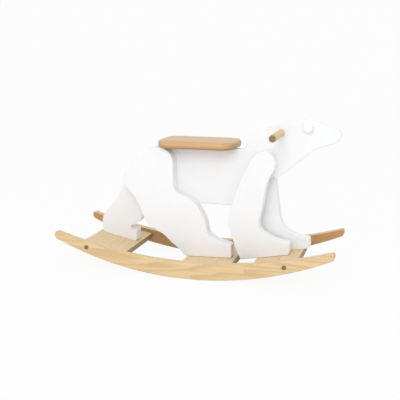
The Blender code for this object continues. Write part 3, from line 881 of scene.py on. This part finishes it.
    def build(self, paint: SatinPaint) -> None:
        """Build and dress the boards, whose grain runs along the body and down the legs.

        Args:
            paint: finish of the bear.
        """
        dress(self.body(), paint.make(), "body")
        upright = replace(paint, grain=Grain.Z).make()
        for side in Side:
            for word, outline in (("haunch", self.haunch(side)), ("shoulder", self.shoulder(side))):
                path = outline_path(outline, self.leg_samples, self.soften)
                piece = side_board(f"bear_{word}_{side.value}", path, side, self.leg_board, self.seam_round,
                                   self.leg_round)
                dress(piece, upright, f"{word}_{side.value}")


@dataclass
class Ears:
    """Round ears with a soft outer edge on the sides of the head."""

    x: float = 0.333
    height: float = 0.415
    radius: float = 0.016
    thickness: float = 0.016
    edge_round: float = 0.0055
    seam_round: float = 0.0006
    samples: int = 96

    def build(self, paint: SatinPaint) -> None:
        """Build and dress both ears, whose outline is a circle.

        Args:
            paint: finish of the ears.
        """
        angle = np.linspace(0.0, 2.0 * np.pi, self.samples, endpoint=False)
        rim = np.stack([self.x + self.radius * np.cos(angle),
                        STAND_HEIGHT + self.height + self.radius * np.sin(angle)], 1)
        path = even_path(rim, self.samples, 0.0)
        material = paint.make()
        for side in Side:
            ear = side_board(f"bear_ear_{side.value}", path, side, self.thickness, self.seam_round,
                             self.edge_round)
            dress(ear, material, f"ear_{side.value}")


@dataclass
class Seat:
    """Seat board with round corners and round edges."""

    width: float = 0.150
    thickness: float = 0.024
    corner_radius: float = 0.045
    soften: float = 0.003
    top_round: float = 0.0095
    under_round: float = 0.0105
    steps: int = 9
    corner_samples: int = 64
    samples: int = 480

    def build(self, wood: VarnishedWood) -> None:
        """Build and dress the seat.

        A point of its outline at an angle lies on a circle about the corner centre of that quadrant.

        Args:
            wood: finish of the seat.
        """
        count = 4 * self.corner_samples
        angle = (np.arange(count) + 0.5) * 2.0 * np.pi / count
        way = np.stack([np.cos(angle), np.sin(angle)], 1)
        reach = np.array([(SEAT_FRONT - SEAT_REAR) / 2.0, self.width / 2.0]) - self.corner_radius
        middle = np.array([(SEAT_REAR + SEAT_FRONT) / 2.0, 0.0])
        path = even_path(middle + np.sign(way) * reach + way * self.corner_radius, self.samples, self.soften)
        low = STAND_HEIGHT + BACK_HEIGHT + GAP
        seat = rounded_board("seat_board", path, (low, low + self.thickness), self.under_round,
                             self.top_round, Plane.LEVEL, self.steps)
        dress(seat, wood.make(), "seat")


@dataclass
class Handle:
    """Round handle rod through the neck."""

    x: float = 0.2525
    height: float = 0.3945
    radius: float = 0.011
    length: float = 0.305
    end_round: float = 0.003
    end_strip: float = 0.0005
    end_steps: int = 7
    facets: int = 72

    def build(self, wood: VarnishedWood) -> None:
        """Build and dress the handle.

        The profile runs from the middle of one end over a quarter circle, along the rod and over the other.

        Args:
            wood: finish of the handle.
        """
        angle = np.linspace(0.0, np.pi / 2.0, self.end_steps + 1)
        half = self.length / 2.0
        edge = np.stack([self.radius - self.end_round * (1.0 - np.sin(angle)),
                         half - self.end_round * (1.0 - np.cos(angle))], 1)
        end = np.array([[0.0, half], [self.radius / 2.0, half],
                        [self.radius - self.end_round - self.end_strip, half]])
        left = np.vstack([end, edge])
        right = left[::-1] * np.array([1.0, -1.0])
        centre = Vector((self.x, 0.0, STAND_HEIGHT + self.height))
        rod = turned_piece("handle_rod", np.vstack([left, right]), self.facets, centre, 1.0)
        dress(rod, wood.make(), "handle")


@dataclass
class Runners:
    """Curved runners between two arcs, with round tips and round edges."""

    length: float = 0.880
    thickness: float = 0.025
    spacing: float = 0.260
    depth: float = 0.050
    tip_depth: float = 0.022
    rocking_radius: float = 1.048
    rest_flat: float = 0.070
    tip_round: float = 0.008
    edge_round: float = 0.0024
    soften: float = 0.0012
    steps: int = 6
    arc_samples: int = 401
    tip_samples: int = 23
    samples: int = 1400

    def bottom(self, x: np.ndarray) -> np.ndarray:
        """Height of the bottom arc, which starts at both ends of the rest flat.

        A point beyond the flat lies on a circle of the rocking radius, whose centre is over the middle.

        Args:
            x: places along X.

        Returns:
            The heights.
        """
        beyond = np.maximum(np.abs(x), self.rest_flat / 2.0)
        start = math.sqrt(self.rocking_radius ** 2 - (self.rest_flat / 2.0) ** 2)
        return start - np.sqrt(self.rocking_radius ** 2 - beyond ** 2)

    def top(self, x: np.ndarray) -> np.ndarray:
        """Height of the top arc, which leaves the stated depths at the middle and at the tips.

        Its radius is the sum of the squares of half the length and of the rise, over twice the rise.

        Args:
            x: places along X.

        Returns:
            The heights.
        """
        half = self.length / 2.0
        rise = float(self.bottom(np.array(half))) + self.tip_depth - self.depth
        radius = (half ** 2 + rise ** 2) / (2.0 * rise)
        return self.depth + radius - np.sqrt(radius ** 2 - x ** 2)

    def path(self) -> np.ndarray:
        """Outline of a runner; each tip is half an ellipse between the ends of both arcs.

        Returns:
            The closed path.
        """
        reach = self.length / 2.0 - self.tip_round
        x = np.linspace(-reach, reach, self.arc_samples)
        under = np.stack([x, self.bottom(x)], 1)
        over = np.stack([x, self.top(x)], 1)[::-1]
        angle = np.linspace(-np.pi / 2.0, np.pi / 2.0, self.tip_samples + 2)[1:-1, None]
        middle, half = (over[0] + under[-1]) / 2.0, (over[0] - under[-1]) / 2.0
        way = under[-1] - under[-2] + over[0] - over[1]
        ahead = way / np.hypot(*way) * self.tip_round
        tip = middle + ahead * np.cos(angle) + half * np.sin(angle)
        rear = tip[::-1] * np.array([-1.0, 1.0])
        return even_path(np.vstack([under, tip, over, rear]), self.samples, self.soften)

    def build(self, wood: VarnishedWood) -> None:
        """Build and dress both runners.

        Args:
            wood: finish of the runners.
        """
        path = self.path()
        material = wood.make()
        inner = self.spacing / 2.0
        for side in Side:
            span = side.span(inner, inner + self.thickness)
            runner = rounded_board(f"rocker_{side.value}", path, span, self.edge_round, self.edge_round,
                                   Plane.UPRIGHT, self.steps)
            dress(runner, material, f"runner_{side.value}")


@dataclass
class RunnerScrews:
    """Runner screws with flat heads and six-sided sockets."""

    head_radius: float = 0.0065
    head_thickness: float = 0.0025
    head_round: float = 0.0009
    head_steps: int = 5
    socket_radius: float = 0.0026
    socket_depth: float = 0.0014
    socket_bevel: float = 0.0003
    socket_mouth: float = 1.10
    socket_floor: Pair = (0.96, 0.94)
    shank_radius: float = 0.003
    length: float = 0.0675
    facets: int = 72

    def profile(self) -> np.ndarray:
        """Profile from the middle of the socket's floor over the head to the screw's tip.

        The head's rim is a quarter circle, the shank is straight and the tip is a cone.

        Returns:
            Radius and depth below the head's face, one point to a row.
        """
        rim, flat, shank = self.head_radius, self.head_thickness, self.shank_radius
        hole, deep = self.socket_radius, self.socket_depth
        floor_radius, wall_foot = hole * self.socket_floor[0], deep * self.socket_floor[1]
        angle = np.linspace(0.0, np.pi / 2.0, self.head_steps + 1)
        edge = np.stack([rim - self.head_round * (1.0 - np.sin(angle)),
                         self.head_round * (1.0 - np.cos(angle))], 1)
        socket = np.array([[0.0, deep], [floor_radius, deep], [hole, wall_foot], [hole, self.socket_bevel],
                           [hole * self.socket_mouth, 0.0]])
        rest = np.array([[rim, flat], [shank, flat], [shank, self.length - shank], [0.0, self.length]])
        return np.vstack([socket, edge, rest])

    def lobes(self, rows: int) -> np.ndarray:
        """Factor on the radius that makes the socket six-sided.

        A hexagon's edge at an angle lies at its flat distance over the cosine of the angle from the flat. The
        first four inner points of the profile belong to the socket.

        Args:
            rows: inner points of the profile.

        Returns:
            The factor, profile point by angle.
        """
        angle = np.linspace(0.0, 2.0 * np.pi, self.facets, endpoint=False)
        hexagon = 1.0 / np.cos(np.mod(angle, np.pi / 3.0) - np.pi / 6.0)
        factor = np.ones((rows, self.facets))
        factor[:4] = hexagon
        return factor

    def build(self, steel: DarkSteel) -> None:
        """Build and dress the four screws at the places of their CAD nodes.

        Args:
            steel: finish of the screws.
        """
        material = steel.make()
        profile = self.profile()
        lobes = self.lobes(len(profile) - 2)
        for node in sorted(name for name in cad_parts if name.startswith("runner_screw")):
            low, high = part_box(node)
            sign, face = (1.0, low.y) if low.y < 0.0 else (-1.0, high.y)
            centre = Vector(((low.x + high.x) / 2.0, face, (low.z + high.z) / 2.0))
            screw = turned_piece(f"{node}_fine", profile, self.facets, centre, sign, lobes)
            dress(screw, material, node)


@dataclass
class Joinery:
    """Slats and the hidden dowels and foot screws, which keep their CAD meshes."""

    def build(self, slat_wood: VarnishedWood, dowel_wood: VarnishedWood, steel: DarkSteel) -> None:
        """Dress the kept nodes.

        The words are tried in turn, so the slats' dowels, whose names hold two of them, count as dowels.

        Args:
            slat_wood: finish of the slats.
            dowel_wood: finish of the dowels.
            steel: finish of the foot screws.
        """
        materials = {"dowel": dowel_wood.make(), "foot_screw": steel.make(), "slat": slat_wood.make()}
        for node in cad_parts:
            word = next((word for word in materials if word in node), None)
            if word is not None:
                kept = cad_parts[node].data.materials
                kept.clear()
                kept.append(materials[word])
                LOG.info("%s: kept, %s", node, materials[word].name)


@dataclass
class Studio:
    """Camera, floor that curves up into a backdrop, and soft white light."""

    camera_place: Triple = (0.6146, -2.0819, 0.6893)
    azimuth: float = 16.55
    elevation: float = 12.37
    lens: float = 63.0
    sensor: float = 36.0
    floor_span: Pair = (-5.0, 2.5)
    floor_rows: int = 15
    bend_radius: float = 1.5
    bend_steps: int = 24
    backdrop_height: float = 5.0
    half_width: float = 6.0
    columns: int = 13
    world_light: float = 0.94
    backdrop_light: float = 0.985
    key_power: float = 21.0
    key_size: float = 1.6
    key_place: Triple = (0.25, -2.7, 2.0)
    key_aim: Triple = (0.0, 0.0, 0.25)

    def put(self, data: bpy.types.Camera | bpy.types.Light, place: Triple, ahead: Vector) -> bpy.types.Object:
        """Place a camera or a lamp so that it looks ahead, with its top up.

        Args:
            data: settings of the camera or lamp.
            place: its place.
            ahead: direction that it looks in.

        Returns:
            The camera or lamp, linked to the scene.
        """
        thing = bpy.data.objects.new(data.name, data)
        thing.location = place
        thing.rotation_euler = ahead.to_track_quat("-Z", "Y").to_euler()
        bpy.context.scene.collection.objects.link(thing)
        return thing

    def camera(self) -> None:
        """Set the camera at the photo's angle, turned round Z by the azimuth and down by the elevation."""
        data = bpy.data.cameras.new("camera")
        data.lens = self.lens
        data.sensor_width = self.sensor
        azimuth, elevation = math.radians(self.azimuth), math.radians(self.elevation)
        ahead = Vector((-math.sin(azimuth) * math.cos(elevation), math.cos(azimuth) * math.cos(elevation),
                        -math.sin(elevation)))
        bpy.context.scene.camera = self.put(data, self.camera_place, ahead)

    def floor(self, finish: StudioWhite) -> None:
        """Floor and backdrop as one sheet.

        The height is zero up to a line behind the toy, then follows a quarter circle, then rises straight.

        Args:
            finish: finish of the sheet.
        """
        start, end = self.floor_span
        bend = np.linspace(0.0, np.pi / 2.0, self.bend_steps + 1)
        depth = np.concatenate([np.linspace(start, end, self.floor_rows, endpoint=False),
                                end + self.bend_radius * np.sin(bend), [end + self.bend_radius]])
        rise = np.concatenate([np.zeros(self.floor_rows), self.bend_radius * (1.0 - np.cos(bend)),
                               [self.backdrop_height]])
        across, back = np.meshgrid(np.linspace(-self.half_width, self.half_width, self.columns), depth)
        grid = np.stack([across, back, np.broadcast_to(rise[:, None], back.shape)], -1)
        row, column = np.meshgrid(np.arange(len(depth) - 1), np.arange(self.columns - 1), indexing="ij")
        first = (row * self.columns + column).reshape(-1)
        quads = np.stack([first, first + 1, first + 1 + self.columns, first + self.columns], 1)
        sheet = new_mesh("studio_sheet", grid.reshape(-1, 3), quads.tolist())
        sheet.data.materials.append(finish.make())

    def light(self) -> None:
        """Set even white surroundings and one soft key light."""
        world = bpy.data.worlds.new("studio")
        bpy.context.scene.world = world
        graph = Graph(world)
        seen = graph.node("ShaderNodeLightPath", {}, {}, "Is Camera Ray")
        graph.feed("Color", WHITE)
        graph.feed("Strength", self.world_light)
        links = {"Color": WHITE, "Strength": self.backdrop_light}
        white = graph.node("ShaderNodeBackground", {}, links)
        mixed = graph.node("ShaderNodeMixShader", {}, {0: seen, 1: graph.shader.outputs[0], 2: white})
        graph.plug(graph.output.inputs["Surface"], mixed)
        data = bpy.data.lights.new("key", "AREA")
        data.energy = self.key_power
        data.shape = "DISK"
        data.size = self.key_size
        self.put(data, self.key_place, Vector(self.key_aim) - Vector(self.key_place))

    def build(self, finish: StudioWhite) -> None:
        """Set up the whole studio.

        Args:
            finish: finish of the floor and backdrop.
        """
        self.camera()
        self.floor(finish)
        self.light()
        bpy.context.scene.view_settings.view_transform = "Standard"


def main() -> None:
    """Build the pieces in order."""
    logging.basicConfig(level=logging.INFO, format="%(message)s")
    paint = SatinPaint()
    BearBoards().build(paint)
    Ears().build(paint)
    # Seat: deep tone on its end grain, and painted shade on faces that look down
    seat = VarnishedWood("seat_wood", (0.705, 0.440, 0.210), (0.500, 0.255, 0.095), Grain.X,
                         deep=(0.270, 0.130, 0.050), shares=(0.60, 0.0, 0.0), under_shade_share=0.75, coat=0.35,
                         contrast=0.95)
    handle = VarnishedWood("handle_wood", (0.700, 0.495, 0.230), (0.530, 0.330, 0.125), Grain.Y,
                           deep=(0.180, 0.135, 0.050), shares=(0.0, 1.0, 0.0))
    # Runners: deep tone on the tips' end grain, and painted shade on the faces turned to the middle
    runner = VarnishedWood("runner_wood", (0.790, 0.585, 0.325), (0.570, 0.370, 0.160), Grain.X,
                           deep=(0.470, 0.205, 0.055), shares=(0.80, 0.0, 0.0), inner_shade_share=0.85,
                           contrast=0.90)
    # Slats: deep tone on their end grain, and painted shade on their long cut edges
    slat = VarnishedWood("slat_wood", (0.785, 0.610, 0.365), (0.620, 0.430, 0.220), Grain.Y,
                         deep=(0.240, 0.145, 0.060), shares=(0.95, 0.95, 0.0), roughness=0.5, coat=0.1)
    dowel = VarnishedWood("dowel_wood", (0.760, 0.620, 0.430), (0.640, 0.480, 0.300), Grain.Y,
                          roughness=0.7, coat=0.0)
    steel = DarkSteel()
    Seat().build(seat)
    Handle().build(handle)
    Runners().build(runner)
    RunnerScrews().build(steel)
    Joinery().build(slat, dowel, steel)
    Studio().build(StudioWhite())


if __name__ == "__main__":
    main()
